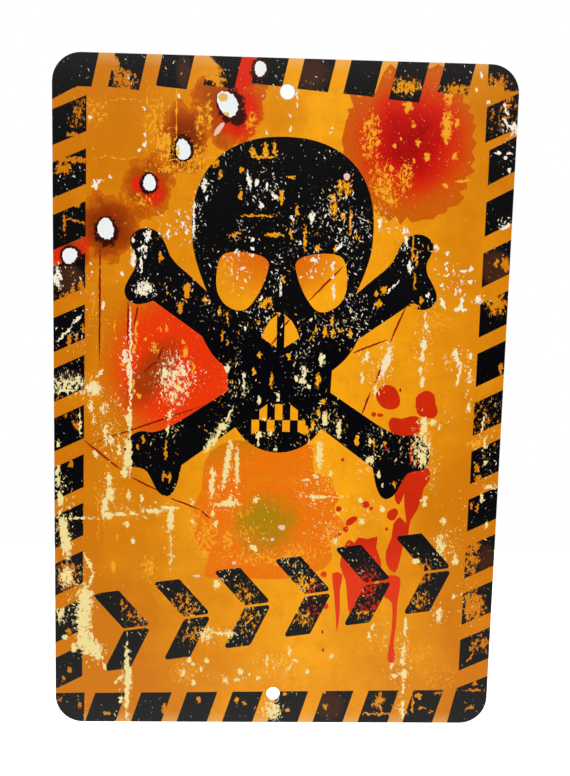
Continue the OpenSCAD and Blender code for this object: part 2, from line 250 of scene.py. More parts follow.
def ragged(tree, place, field, size, seed, stretch=1.3, level=0.35, depth=2.3):
    """Worn patches with a torn, porous outline where the field is high. Returns 0 to 1."""
    torn = noise(tree, place, size, seed, stretch=stretch, detail=6, roughness=0.74)
    height = calc(tree, "MULTIPLY_ADD", torn, depth, field)
    return sharpen(tree, height, level + depth / 2, TEAR_STEEPNESS)


def flecks(tree, place, share, size, seed, leans=(20, -24, 62), stretch=2.8):
    """Slim crooked flecks that lean these ways, more and larger where the share is high."""
    field = 0.0
    for turn in leans:
        c, s = math.cos(math.radians(turn)), math.sin(math.radians(turn))
        turned = tree.nodes.new("ShaderNodeCombineXYZ")
        join(tree, vector(tree, "DOT_PRODUCT", place, (c, s, 0)), turned.inputs[0])
        join(tree, vector(tree, "DOT_PRODUCT", place, (-s, c, 0)), turned.inputs[1])
        grain = noise(tree, turned.outputs[0], size, seed + turn,
                      stretch=stretch, detail=1.5, roughness=0.5)
        field = calc(tree, "MAXIMUM", grain, field)
    height = calc(tree, "MULTIPLY_ADD", share, 0.3, field)
    return sharpen(tree, height, FLECK_LEVEL, FLECK_STEEPNESS)


def unsteady(tree, place, size, reach, seed):
    """The place, moved to and fro by a noise, so that what is drawn there has crooked edges."""
    drift = noise(tree, place, size, seed, detail=2, output="Color")
    drift = vector(tree, "SUBTRACT", drift, (0.5, 0.5, 0.5))
    return vector(tree, "MULTIPLY_ADD", drift, (reach, reach, 0), place)


# Scorched rings round the burn marks. A mark has its middle, width and height in
# millimetres, and where needed its turn in degrees and its strength.
SCORCH = [
    (-26, 131, 32, 36), (-36, 132, 14, 26, 0, 0.7), (-45, 117, 25, 31), (-60, 96.5, 23, 27),
    (-78, 78, 31, 31), (-94, 67, 20, 17, 0, 0.9), (-13, 147, 14, 22, 0, 0.9), (-66, 86, 14, 10, 0, 0.6)]
# The reddest and the brownest parts of those rings
SCORCH_RED = [
    (-20.5, 130, 23, 32), (-21, 121, 17, 13, 0, 0.8), (-19, 146, 14, 24), (-64.5, 97, 7, 10),
    (-57.5, 94, 12, 17), (-99, 65, 11, 12, 0, 0.9), (-88, 69, 9, 12, 0, 0.7)]
SCORCH_BROWN = [
    (-44, 118.5, 20, 22), (-78, 78, 27, 28), (-43, 107, 12, 12, 0, 0.7), (-94, 66, 19, 17, 0, 0.7),
    (-60, 97, 19, 22, 0, 0.5), (-29, 131, 20, 26, 0, 0.5)]
# Places where the orange is darker than round them
DARK_SIDES = [
    (92, -50, 70, 120, 0, 1), (80, 65, 26, 34, 0, 0.6), (-4, 128, 28, 32, 0, 0.6),
    (-50, -70, 40, 20, 0, 0.4)]
# Redder corners of the two eyes
EYE_GLOW = [
    (-8, 72, 54, 52, 0, 0.95), (6, 72, 44, 52, 0, 0.95)]
# Dark singed places close to the burn marks
SINGED = [
    (-12.3, 147, 9.5, 11.5), (-24.5, 131.5, 14, 17, 0, 1.2), (-21.5, 127, 9, 10),
    (-45.5, 113.5, 11.5, 14), (-47.5, 110.5, 8, 9), (-59.7, 97.3, 9.5, 11.5), (-78.2, 75.8, 12.5, 15),
    (-93.6, 65.3, 10.5, 11)]
# Pale feathery places in the orange and in the stains
PALE_MARKS = [
    (-53, 115, 13, 18, 15, 0.7), (-40, 108, 20, 16, 0, 0.5), (-57, 124, 12, 30, 0, 0.35),
    (-38, 126, 5, 19, 0, 0.6), (-34, 127, 4, 20, 0, 0.6), (-15.5, 125, 6, 11, 0, 0.5),
    (-48, 129, 0.9, 44, 0, 0.9), (-46, 145, 5, 7, 0, 0.6), (-45, 108, 31, 1, 0, 0.9),
    (-73, 108, 28, 0.8, 0, 0.6), (-67, 133, 40, 0.8, 0, 0.6), (-61, 120, 0.8, 60, 0, 0.5),
    (-33, 105, 8, 5, 20, 0.5), (-62, 90, 10, 8, 0, 0.4), (-74.5, 35, 1.2, 6), (-74, 29, 1.2, 2.4),
    (-65, 33, 1.3, 14), (-61, 29, 1.2, 2.6), (-54, 33.5, 1.2, 3), (-51.5, 33.5, 1.3, 4),
    (-44, 28, 1.4, 3), (-43, 23.5, 2.6, 6), (-39.5, 16, 1, 8), (-66, 24, 1.6, 6), (-66, 7, 1.4, 9),
    (-63.7, 3.3, 2.6, 2.6), (-71, 17.5, 2.2, 3.2), (-46.5, 8, 2.2, 4), (-57, 25, 5, 7, 20, 0.5),
    (70.5, 138, 5, 12, 0, 0.7), (70.5, 125, 5.6, 18, 0, 1), (53, 133.5, 5, 8, 0, 0.9),
    (55.5, 125.5, 2.4, 3), (53, 104, 2.4, 3), (52, 101.5, 2, 2.6), (47.5, 116.3, 2, 3),
    (46.5, 107, 2.6, 4), (40, 117.5, 2.6, 4), (36.5, 125.5, 3, 5), (50, 119.5, 1.6, 2.4),
    (62.5, 112, 3, 4.4), (56, 110, 1.6, 2.4), (46.5, 95, 1.4, 11, 25), (45, 96, 1.4, 8, -30),
    (47, 92, 4, 5), (75, 127, 2.4, 4), (74.5, 112.5, 2.4, 4), (79, 102, 8, 2), (71, 99.5, 3, 3),
    (58, 118, 3, 5, 0, 0.7), (37, 120, 10, 26, 0, 0.5), (44, 99, 14, 26, 20, 0.5),
    (53, 103, 8, 16, 0, 0.5), (40, 88, 8, 8, 0, 0.5), (43, 150, 6, 9, 0, 0.4),
    (-83, 128, 14, 14, 0, 0.36), (-75, -77, 3, 7, 0, 0.9), (-58.5, -77, 8, 15, 0, 0.55),
    (-82, -53, 1, 26, 0, 0.7), (-79, -53, 1, 26, 0, 0.6), (-73, -63, 1, 6), (-22.5, -64, 6, 12, 0, 0.6),
    (-33, -70, 7, 5, 0, 0.7), (-43, -128, 14, 10, 0, 0.3), (-47, -88, 20, 12, 0, 0.25),
    (70, -118, 16, 10, 0, 0.22), (80, -130, 18, 12, 0, 0.22), (90, -16.5, 9, 6, 0, 0.6),
    (-23, 62, 1.2, 8), (-26, 63, 1.6, 4), (-25, 58, 1.6, 4), (10, -70, 20, 13, 0, 0.45),
    (-33, -61, 14, 22, 0, 0.45), (-38, -56, 10, 22, 0, 0.4), (26, -62, 14, 22, 0, 0.4),
    (-6, -72, 40, 9, 0, 0.4), (24, -36, 14, 14, 0, 0.4), (-84, 42, 3, 20, 0, 0.3),
    (-14, -60, 14, 8, 20, 0.35), (-16, -51, 12, 5, 10, 0.3), (-50, 104, 22, 7, 0, 0.45),
    (-44, 112, 9, 14, 0, 0.45), (4, -125, 16, 22, 0, 0.36), (68, 40, 20, 15, 0, 0.36),
    (47, 60, 9, 16, 0, 0.4)]
# Bare streaks and flecks, down to the cream base. First the upper part of the sign
CREAM_MARKS = [
    (-85.5, 125, 2.2, 2.2), (-79.7, 126, 1, 1), (-62, 129, 0.9, 2.2), (-61.5, 118.5, 1.2, 1.6),
    (-61.7, 114, 1.5, 2.8), (-64, 111.5, 1.4, 1.6), (-83, 96.5, 5.4, 1.8, 40),
    (-83, 96.5, 1.8, 5.4, 10), (-76.5, 99.7, 1.4, 1.4), (-47, 135, 1.2, 2), (4.2, 137, 0.8, 4),
    (4.2, 133, 0.7, 2.4), (1.3, 127.8, 1.1, 1.8), (1.6, 122.4, 1.1, 1.8), (-8.7, 120.8, 1.1, 1.8),
    (19.7, 121.5, 1.3, 1.6), (20, 123.6, 1, 1.3), (82.5, 141.3, 1.6, 1.6), (84.7, 147.5, 1.5, 2.4),
    (88, 136.2, 1.6, 1.6), (96, 133.5, 1.2, 6.5, 20), (98.5, 126, 1.6, 9.5, 50),
    (100, 125, 5, 5, 0, 0.6), (93.5, 114.5, 4, 1.1), (99, 114.5, 4, 1.1), (97, 112.5, 1.8, 1.6),
    (99, 107.3, 2, 1.6), (-16, 100, 1.9, 8, 10), (-8, 98, 1.3, 4.6), (-5, 93.5, 1.8, 3.6, 40),
    (-12.5, 98.5, 1.3, 3), (-35.5, 97, 1.8, 6), (-34.5, 91.5, 1.3, 3), (-10.5, 89, 1.5, 3.6),
    (3.5, 84, 1.3, 3.6), (12.3, 84, 1.8, 7), (25, 72, 1.3, 6, -35), (7.2, 73, 1.2, 2),
    (-14, 74, 1.2, 2.2), (-14, 70, 1.2, 2), (-9.5, 48, 1.2, 3), (-1, 53, 0.8, 11, 0, 0.7),
    (13, 39, 1.2, 2), (-16.5, 34.5, 1.2, 2), (-21.5, 68.5, 1.4, 1.8), (-18, 61.5, 1.4, 2),
    (-20.5, 57.5, 1.3, 1.8), (-17, 55.5, 1.3, 1.6), (-14, 67, 1.2, 1.8), (13.5, 65.5, 2.8, 2.8),
    (22, 63.5, 1.3, 4.6), (12.5, 60.8, 1.3, 1.6), (13, 58, 1.2, 1.6), (7.7, 57.5, 1.2, 1.6),
    (22.3, 58.5, 1.2, 1.8), (22.8, 51.5, 1.4, 8), (42.5, 82, 1.4, 6), (53.4, 79.5, 1, 3),
    (55, 79.5, 1, 3), (54.5, 74.5, 1.5, 7), (56.5, 63.5, 1.8, 6), (65.2, 51, 1.3, 3.6),
    (49.5, 54.5, 1, 8, -45, 0.8), (68.3, 72.5, 1.8, 3.4), (73.5, 69.7, 1.4, 1.8), (73, 65.5, 1.3, 2),
    (73, 63, 1.3, 1.6), (74, 60.5, 1.4, 1.8), (76.2, 62, 1.3, 1.8), (80.5, 62, 3.6, 1.4),
    (84, 63, 3, 2, 30), (80.3, 57, 1.4, 2.4), (77.5, 53, 1.1, 3.6), (79.7, 53, 1.1, 2.4),
    (82, 51.5, 1.4, 2), (84, 57.5, 1.4, 1.8), (71.5, 55.5, 1.3, 1.8), (72.3, 47.5, 1.6, 5.4, 20),
    (80.5, 47.5, 1.8, 6.5), (80.5, 44.8, 6, 1.6), (98.5, 82, 6, 1.8, 25), (88.5, 49.5, 3.4, 3.4),
    (64.5, 42, 1, 3.6), (65, 37, 1.8, 4.6), (64.5, 28, 2.4, 6), (-60, 75, 2.5, 6),
    (-62.5, 69.2, 4, 1.2, 30), (-60.5, 69, 1.2, 3), (-61, 65.5, 1.3, 2.2), (-66.5, 72.5, 1.5, 2.4),
    (-63, 62, 1.2, 9), (-66.5, 64.5, 2.9, 7), (-61.5, 51.3, 8.5, 6, 0, 0.62), (-45, 80, 1.5, 3),
    (-42.5, 83, 1.4, 2.4), (-46.5, 85, 1.4, 2), (-43, 77, 1.4, 2.4), (-51, 76, 1.8, 3),
    (-40, 81, 1.2, 18, 0, 0.6), (-79.7, 43.5, 1.4, 4), (-85, 62, 1.3, 2), (-84.5, 58.5, 1.3, 2),
    (-71.5, 57.5, 1.3, 2), (-97, 30, 1.3, 11, -44), (-91.5, 36.5, 1.2, 6, -42),
    (-99.5, 55, 3.4, 11, 0, 0.6),
    # the middle
    (-67.5, 33, 1.1, 22), (-67.5, 12, 1.5, 30), (-67.7, -8, 1.6, 14), (-70, 21, 2.9, 6),
    (-68.5, 16, 1.8, 9), (-68.5, -7, 3, 5), (-68.5, -22, 3.4, 11), (-69, -27, 3.4, 7),
    (-70, -33, 3.4, 5), (-67.4, -24, 1.4, 22), (-94.5, 7.5, 14, 7, 0, 0.25), (-98, 5, 7, 1.4, 15),
    (-92, 9, 7, 1.4, 15), (-84, 6, 7, 7, 0, 0.8), (-81, 13, 1.5, 5, -40), (-85, -2, 2, 5),
    (-84, -8, 1, 6), (-79, -3, 3, 5, 0, 0.5), (-78.5, -15, 2, 11), (-76, -18, 2, 6), (-72.5, -22, 2, 5),
    (-83, -24, 2.4, 3.4), (-90, -10.5, 1.2, 13, 0, 0.8), (-99.7, -19.5, 2, 3),
    (-100, -34, 2.4, 10, 0, 0.7), (-77, -36, 2.4, 9), (-52, 14, 2.4, 6), (-47.5, 12, 2, 5),
    (-44, 15, 1.8, 6, 20), (-48, 10.5, 12, 17, 0, 0.22), (-48.5, 2, 1.3, 6), (-49.5, -5, 1.3, 6),
    (-50.7, -12, 1.2, 5), (-42.5, 4.5, 1.5, 2.4), (-41.3, 16.7, 1.4, 2.4), (-24, 16, 2.3, 4.6),
    (-16.5, 10, 1.1, 11), (10.5, 15.5, 1.5, 6), (10, 11, 2.9, 3.4), (7, 12, 1.6, 2.4),
    (13, 8.5, 1.6, 2.6), (18.5, 21, 2.8, 6), (-1, 3.5, 1.3, 5), (-9.5, 2, 1.3, 5), (-9.5, -14, 2.8, 4),
    (-7, -7, 1.4, 3), (-4, -13, 1.4, 3), (-9.5, -18, 1.4, 3), (-1.5, -20.5, 1.4, 3), (-26, -10.5, 4, 4),
    (-23.5, -6, 1.1, 11, -28), (-30, -17, 3, 13, -40, 0.8), (-27, -12, 3, 16, -35, 0.35),
    (20.5, -6, 2.3, 8), (27, -10.5, 2.3, 9), (-30, -36, 2.6, 15), (-23.5, -28, 3, 24, -8),
    (-19, -29, 2, 20), (-22, -46, 9, 3.6), (-22, -45, 2.4, 5), (-24, -46.8, 15, 2.2),
    (-30, -51, 1.6, 3.4), (-28, -56, 1.6, 4), (18.7, -23, 3, 14), (17, -33, 3.6, 2.4),
    (13, -34.5, 4.6, 1.5), (24, -31.5, 1.8, 2.6), (47.5, 20, 3.2, 17, -15), (39, 23, 2.2, 6),
    (37, 13, 1.3, 7), (43, 8, 2, 4), (64, 24, 1.8, 7), (63.5, 17, 1.4, 4), (64.5, 11.5, 1.8, 4.6),
    (79, 24, 2.8, 6), (80.5, 21, 1.8, 4), (86, 24, 2.3, 3.6), (81, 15, 1.2, 11.5, -12),
    (86, 14, 2, 6, 0, 0.5), (86, 0, 2.3, 4.6), (66, -9, 3.4, 9), (66.5, -24, 2.9, 6),
    (65.5, -20, 7, 15, 0, 0.3), (69, -17.5, 1.5, 3), (70, -7, 3.4, 3.4), (73, -9.5, 1.6, 2.4),
    (47, -12, 1.5, 3), (41.5, -16, 1.5, 3), (42, -25, 4.4, 3.6), (46, -32, 1.6, 3.4), (48, -37, 1.6, 3),
    (93.2, -7.5, 1.1, 10, -12), (94.5, -16, 1.1, 9, -8), (95, -25.5, 1.4, 3), (98, -37, 5.6, 2.3),
    (94.5, -42, 2.3, 4.6), (97, -55, 2, 4),
    # the lower part
    (-76.5, -42, 3.6, 9), (-79, -48, 3.4, 9), (-77.5, -52.5, 5.4, 3.6), (-72, -52, 6.6, 2),
    (-69, -56.5, 2.8, 2.8), (-66, -51.5, 4, 1.6, 0, 0.6), (-57, -50.3, 10, 2.4), (-49, -48.8, 8, 2.6),
    (-48.7, -54.5, 3.2, 12), (-48.7, -70, 1.1, 20, 0, 0.5), (-68, -43, 1.8, 6), (-62, -44, 1.6, 4),
    (-66, -64, 1.1, 3.6), (-39, -46, 1.6, 3), (-38.5, -55, 1.6, 3), (-99, -45, 2.8, 9),
    (-91, -54, 21, 1.2, 0, 0.6), (-97, -63, 4.8, 24, 8), (-96.5, -82, 6, 9, 0, 0.7),
    (-86, -75.5, 1.7, 11, 27), (-85.5, -84, 1.7, 9, -20), (-88, -93, 7.2, 15), (-88.5, -102, 7.4, 16),
    (-88, -112, 8, 12), (-85, -116, 10, 8), (-82, -120, 4.4, 5.6), (-79, -125, 1.2, 5, 20),
    (-93, -116, 3.4, 4.6), (-97, -111, 2.3, 3), (-99, -100, 4, 8, 0, 0.6), (16, -43, 2.9, 3.6),
    (20, -42.5, 21, 1, 0, 0.6), (-10, -44.5, 2, 2.6), (-10.8, -67, 2, 6, 50), (38, -44, 2, 3),
    (39, -54, 2, 3), (48.5, -48, 2, 3), (67.5, -44, 2.9, 4.6), (77, -53, 3, 4, 0, 0.5),
    (83.5, -72, 2.3, 7), (76.5, -65, 4.4, 9, 0, 0.6), (65, -73, 4, 2.4), (77, -99, 2.9, 7),
    (83.5, -90, 1.8, 3), (27, -63, 2, 4, 0, 0.6), (-27, -85, 3.4, 4.6), (-68.5, -132, 2.6, 42),
    (-68, -131, 3.6, 14), (-68.5, -142, 2.3, 11), (-72, -131.3, 1.6, 6, -42), (-71.3, -141.5, 2.1, 3.6),
    (-39.5, -121.5, 2, 3), (-37.5, -124, 2, 2.4), (-42, -128, 2, 3), (-37.5, -133, 2, 3),
    (-32, -109, 5, 7, 0, 0.5), (-26, -108.5, 17, 1.2, 0, 0.6), (-21, -109, 4.4, 4.4, 0, 0.7),
    (-31.5, -122, 2, 3), (-34, -126, 2, 3), (-22.5, -131.5, 2.4, 3), (-17.5, -131.5, 2.4, 2.4),
    (-15.5, -127.5, 2, 3), (-11, -128.5, 2, 2), (-7, -130.5, 2, 2), (-3.2, -123, 1.1, 9),
    (7.3, -117, 1.3, 4.6), (7.5, -124.5, 1.2, 5, -40), (10.2, -121.5, 1.6, 2.4), (16, -127, 2, 2.4),
    (27, -119, 2, 3), (0, -146.5, 8, 10, 0, 0.5), (1, -147.5, 3.4, 3.4), (46, -105, 1.8, 4.6),
    (44.3, -109, 1.6, 2.4), (61.5, -104, 1.5, 10), (61, -117, 2.3, 7), (60.5, -122, 2.9, 5),
    (61.5, -128, 2.9, 6), (61.6, -134, 0.9, 9), (61.5, -146, 1.9, 10), (55.5, -124.5, 1.8, 3),
    (57, -129, 3.6, 1.9)]
# Wide places that are thick with small bare flecks
CREAM_CLOUDS = [
    (-76, -12, 26, 44, 0, 0.8), (-77, -42, 16, 28, 0, 0.7), (-97, -52, 14, 48, 0, 0.8),
    (-60, -50, 36, 14, 0, 0.7), (-49, -64, 9, 32, 0, 0.6), (-27, -13, 11, 24, -33, 0.6),
    (-25, -38, 20, 40, 0, 0.7), (-49, -8, 14, 22, 0, 0.6), (-10, -44, 16, 12, 0, 0.5),
    (-10, -64, 24, 16, 0, 0.4), (-6, -50, 24, 16, 0, 0.35), (20, -6, 16, 26, 0, 0.8),
    (18, -26, 12, 34, 0, 0.7), (17, -40, 26, 22, 0, 0.8), (25, -57, 34, 28, 0, 0.5),
    (45, -16, 18, 22, 0, 0.6), (40, -28, 14, 18, 0, 0.6), (38, -50, 22, 26, 0, 0.5),
    (66, -15, 15, 36, 0, 0.6), (71, -30, 14, 36, 0, 0.5), (76, -4, 12, 16, 0, 0.5),
    (95, -20, 16, 56, 0, 0.45), (98, -38, 16, 9, 0, 0.8), (79, -66, 20, 28, 0, 0.7),
    (85, -62, 22, 60, 0, 0.3), (-96, 8, 20, 18, 0, 0.6), (-84, 5, 14, 24, 0, 0.8),
    (-68, 18, 14, 48, 0, 0.6), (-48, 12, 38, 36, 0, 0.28), (-40, 12, 20, 22, 0, 0.4),
    (-84, 44, 22, 60, 0, 0.25), (-64, 64, 14, 26, 0, 0.35), (-50, 78, 26, 22, 0, 0.5),
    (-40, 82, 13, 26, 0, 0.75), (-20, 62, 20, 30, 0, 0.6), (-34, 44, 26, 20, -40, 0.35),
    (-18, 8, 22, 22, 0, 0.5), (-3, 60, 12, 36, 0, 0.5), (-90, 28, 18, 26, 0, 0.4),
    (33, 43, 14, 28, 0, 1), (31, 78, 16, 38, 0, 0.6), (14, 64, 16, 18, 0, 0.6),
    (54, 76, 10, 18, 0, 0.6), (76, 58, 26, 32, 0, 0.42), (64, 26, 12, 38, 0, 0.7),
    (46, 17, 14, 36, -12, 0.9), (38, 18, 10, 26, 0, 0.55), (80, 22, 18, 18, 0, 0.75),
    (89, 49, 9, 9, 0, 0.7), (9, 12, 22, 26, 0, 0.45), (86, 8, 8, 36, 0, 0.5), (-34, 98, 10, 18, 0, 0.6),
    (-10, 97, 30, 24, 0, 0.55), (24, 88, 34, 34, 0, 0.5), (46, 82, 14, 16, 0, 0.6),
    (98, 84, 12, 8, 0, 0.8), (98, 124, 13, 22, 0, 0.5), (95, 112, 18, 12, 0, 0.3),
    (-82, 96, 8, 10, 0, 0.5), (-90, -95, 18, 50, 0, 0.8), (-84, -118, 20, 18, 0, 0.8),
    (-69, -134, 10, 46, 0, 0.7), (-96, -80, 14, 22, 0, 0.7), (-40, -127, 16, 22, 0, 0.6),
    (-26, -110, 28, 12, 0, 0.7), (-20, -130, 26, 12, 0, 0.6), (2, -124, 36, 20, 0, 0.5),
    (0, -147, 16, 16, 0, 0.75), (61, -120, 12, 46, 0, 0.8), (56, -127, 12, 14, 0, 0.7),
    (77, -100, 12, 20, 0, 0.6), (90, -94, 22, 46, 0, 0.4), (49, -108, 20, 20, 0, 0.55),
    (61, -146, 8, 18, 0, 0.8), (-20, 140, 60, 20, 0, 0.2)]
# Pinkish white shards
PINK_MARKS = [
    (-29.5, 121.5, 2.2, 7.5, -35), (2.3, -57.3, 3.2, 2.8), (-2, -63, 1.6, 1.6),
    (-19.5, -74.5, 1.8, 1.4), (-36.5, -81, 3.4, 1.5), (27, 102.5, 3, 3)]
# Cracks: the two ends and the width of each
CRACKS = [
    (-81, 70, -81.3, 16.5, 0.9), (-68.6, 46, -68.6, 26, 0.9), (-64.2, 44, -66, 34, 0.8),
    (-53, 25.7, -55.4, 19.3, 0.8), (-55.4, 19.3, -61.8, 13.7, 0.8), (-84, -18.8, -35, -1, 0.8),
    (-88.5, -17.5, -71.2, -31.5, 0.9), (-67, -34.6, -54.2, -40.8, 0.9), (-49.5, -43.8, -35, -49.6, 0.8),
    (-35, -49.6, -30.9, -53.7, 0.8), (27, 63.4, 11.7, 47.4, 0.9), (3.5, 39, 0.8, 35.5, 0.8),
    (-2, 31, -4.5, 27.5, 0.8), (55.5, 45.6, 48.6, 28.5, 0.9), (47.6, 30.6, 32, 24.2, 0.9),
    (46, 19.5, 42.8, 11, 0.9), (41, 7, 37.3, -4, 0.9), (54.5, 8.6, 54.5, 6.8, 0.9),
    (22.5, -106.6, 22.5, -108.4, 0.9), (23, -115.6, 23, -117.4, 0.9)]


def crack_spots():
    """The cracks as slim spots: each tapers towards its ends."""
    for x, z, end_x, end_z, width in CRACKS:
        length = math.hypot(end_x - x, end_z - z)
        turn = math.degrees(math.atan2(x - end_x, end_z - z))
        yield (x + end_x) / 2, (z + end_z) / 2, width * 1.1, length * 1.06, turn


def plain_orange(tree, place):
    """The orange ink, darker towards the sides and cloudy, with a painted reflection that makes it
    paler at the top and bottom ends of the sign.
    """
    # It is lightest 14 mm right of the middle and 20 mm above it
    across = calc(tree, "ABSOLUTE", vector(tree, "DOT_PRODUCT", place, (0.01, 0, -0.14)))
    height = vector(tree, "DOT_PRODUCT", place, (0, 0.01, -0.2))
    cloudy = noise(tree, place, 26, 2.1, detail=5, roughness=0.6)
    spread = calc(tree, "MULTIPLY_ADD", calc(tree, "MULTIPLY", height, height), 0.13, across)
    dark = calc(tree, "MULTIPLY_ADD", cloudy, 0.9, calc(tree, "ADD", spread, -0.52), clamp=True)
    colour = blend(tree, dark, MID_ORANGE, EDGE_ORANGE)
    patchy = noise(tree, place, 7, 7.3, detail=4, roughness=0.62)
    patchy = sharpen(tree, patchy, 0.54, 9)
    colour = blend(tree, calc(tree, "MULTIPLY", patchy, 0.2), colour, EDGE_ORANGE)
    side = calc(tree, "ADD", marks(tree, place, DARK_SIDES), -0.3)
    side = calc(tree, "MULTIPLY_ADD", cloudy, 0.6, side, clamp=True)
    colour = blend(tree, side, colour, EDGE_ORANGE)
    # Painted reflection: a narrow pale strip along the top and bottom ends, standing in for the room's
    # light in the gloss
    ends = calc(tree, "ABSOLUTE", vector(tree, "DOT_PRODUCT", place, (0, 0.01, 0)))
    pale = sharpen(tree, ends, 1.47, 12)
    return blend(tree, calc(tree, "MULTIPLY", pale, 0.6), colour, PAINTED_SHEEN_ORANGE)


def ground_colour(tree, place):
    """Orange ink with its scorched rings."""
    colour = plain_orange(tree, place)
    glow = calc(tree, "MULTIPLY", marks(tree, place, EYE_GLOW), 1, clamp=True)
    colour = blend(tree, glow, colour, EYE_ORANGE)
    # The rings have two hard lobed steps outside and shade off smoothly inside
    edge = noise(tree, place, 7, 4.4, detail=3, roughness=0.6)
    lobed = calc(tree, "MULTIPLY_ADD", edge, 1.6, -0.8)
    ring = calc(tree, "ADD", marks(tree, place, SCORCH), lobed)
    outer = sharpen(tree, ring, 0, 14)
    inner = sharpen(tree, ring, 0.32, 14)
    colour = blend(tree, outer, colour, OUTER_RING)
    colour = blend(tree, inner, colour, INNER_RING)
    brown = calc(tree, "MULTIPLY_ADD", lobed, 0.4, marks(tree, place, SCORCH_BROWN), clamp=True)
    colour = blend(tree, calc(tree, "MULTIPLY", brown, 1.2, clamp=True), colour, RING_BROWN)
    red = calc(tree, "MULTIPLY_ADD", lobed, 0.5, marks(tree, place, SCORCH_RED), clamp=True)
    colour = blend(tree, calc(tree, "MULTIPLY", red, 1.25, clamp=True), colour, RING_RED)
    toothed = noise(tree, place, 2, 4.9, detail=4, roughness=0.65)
    singed = calc(tree, "ADD", marks(tree, place, SINGED), -0.85)
    singed = calc(tree, "MULTIPLY_ADD", toothed, 1.5, singed)
    return blend(tree, calc(tree, "MULTIPLY", singed, 3, clamp=True), colour, SINGED_BROWN)


def pale_flecks(tree, place, colour):
    """Lays the pale feathery places and their loose flecks over a colour."""
    field = marks(tree, unsteady(tree, place, 3, 3, 41), PALE_MARKS)
    torn = ragged(tree, place, field, 1.5, 21.7, stretch=1.4, level=0.4, depth=3.6)
    loose = flecks(tree, place, calc(tree, "MULTIPLY_ADD", field, 0.6, 0.22, clamp=True), 1.0, 22.3)
    return blend(tree, calc(tree, "MAXIMUM", torn, loose), colour, PALE_ORANGE)


def cracked(tree, place, colour):
    """Lays the dark red cracks over a colour, broken here and there."""
    line = marks(tree, unsteady(tree, place, 3, 0.6, 31), crack_spots())
    broken = noise(tree, place, 2.2, 33, detail=2)
    shown = calc(tree, "MULTIPLY_ADD", broken, 4, calc(tree, "MULTIPLY_ADD", line, 4, -2.0), clamp=True)
    present = calc(tree, "MULTIPLY", shown, calc(tree, "GREATER_THAN", line, 0.02))
    return blend(tree, present, colour, CRACK_RED)


def bare_cream(tree, place):
    """Where the cream base shows through any ink, from 0 to 1."""
    field = marks(tree, unsteady(tree, place, 2, 2.6, 51), CREAM_MARKS)
    torn = ragged(tree, place, field, 1.5, 5.9, stretch=1.6, level=0.12, depth=4.4)
    cloud = calc(tree, "MULTIPLY", marks(tree, place, CREAM_CLOUDS), 0.9, clamp=True)
    near = calc(tree, "MULTIPLY_ADD", field, 0.5, 0.14)
    near = calc(tree, "MAXIMUM", near, calc(tree, "MINIMUM", cloud, 0.42))
    loose = flecks(tree, place, near, 1.05, 6.4)
    return calc(tree, "MAXIMUM", torn, loose)


CREAM_SHOWN = group_of("bare_cream", "Shown", bare_cream)


def pink_shards(tree, place, colour):
    """Lays the pinkish white shards over a colour."""
    field = marks(tree, unsteady(tree, place, 2, 1, 61), PINK_MARKS)
    return blend(tree, sharpen(tree, field, 0, 8), colour, PINK)


def base_colour(tree, place):
    """The cream base under all the inks, whiter towards the top of the sign."""
    # It turns from 7 mm below the middle to 63 mm above it
    upright = vector(tree, "DOT_PRODUCT", place, (0, 1, 0))
    rise = calc(tree, "MULTIPLY_ADD", upright, 1 / 70, 0.1, clamp=True)
    return blend(tree, rise, CREAM, UPPER_CREAM)


def worn(tree, place, colour):
    """Any ink with the cream base and the pink shards that show through it."""
    bare = blend(tree, use(tree, CREAM_SHOWN, place), colour, base_colour(tree, place))
    return pink_shards(tree, place, bare)


def gloss_film(shader, tree, place):
    """The clear gloss that covers all the inks alike."""
    shader.inputs["Roughness"].default_value = GLOSS
    shader.inputs["IOR"].default_value = 1.5
    roll_lines(tree, place, shader, COVERED_LINES, 8)


orange, tree, shader = new_finish("orange_ink")
place = face_place(tree)
colour = pale_flecks(tree, place, ground_colour(tree, place))
join(tree, worn(tree, place, cracked(tree, place, colour)), shader.inputs["Base Color"])
gloss_film(shader, tree, place)
coat_node("ground_print", orange)

# Stain print. Three fields of orange-red ink over the ground: a round red one with a torn
# rim at the top right, a soft brown-hearted one between the left bones, and a dull one with
# an olive heart under the jaw.


def ramp(tree, value, stops):
    """The colour at this value between stops, each a position and a colour."""
    node = tree.nodes.new("ShaderNodeValToRGB")
    elements = node.color_ramp.elements
    while len(elements) < len(stops):
        elements.new(0.5)
    for element, (position, colour) in zip(elements, stops):
        element.position = position
        element.color = colour
    join(tree, value, node.inputs[0])
    return node.outputs[0]


BAND_BROWN = shade(168, 56, 0)
OLIVE = shade(176, 130, 0)
LOW_ORANGE = shade(239, 117, 0)
LOW_YELLOW = shade(232, 136, 0)
DOT_ORANGE = shade(252, 170, 100)
# Marks for the top stain, for the side one and its brown band, and for the olive heart
TOP_STAIN = [(55, 118.5, 98, 98)]
SIDE_STAIN = [(-45, 17, 76, 80)]
BROWN_BAND = [(-58, 13, 19, 42, -33), (-54, 22, 14, 16, 0, 0.8)]
OLIVE_HEART = [(-5, -55, 32, 36, 0, 0.75)]

stain, tree, shader = new_finish("stain_ink")
place = face_place(tree)
drift = noise(tree, place, 14, 6.6, detail=5, roughness=0.6)
upright = vector(tree, "DOT_PRODUCT", place, (0, 1, 0))

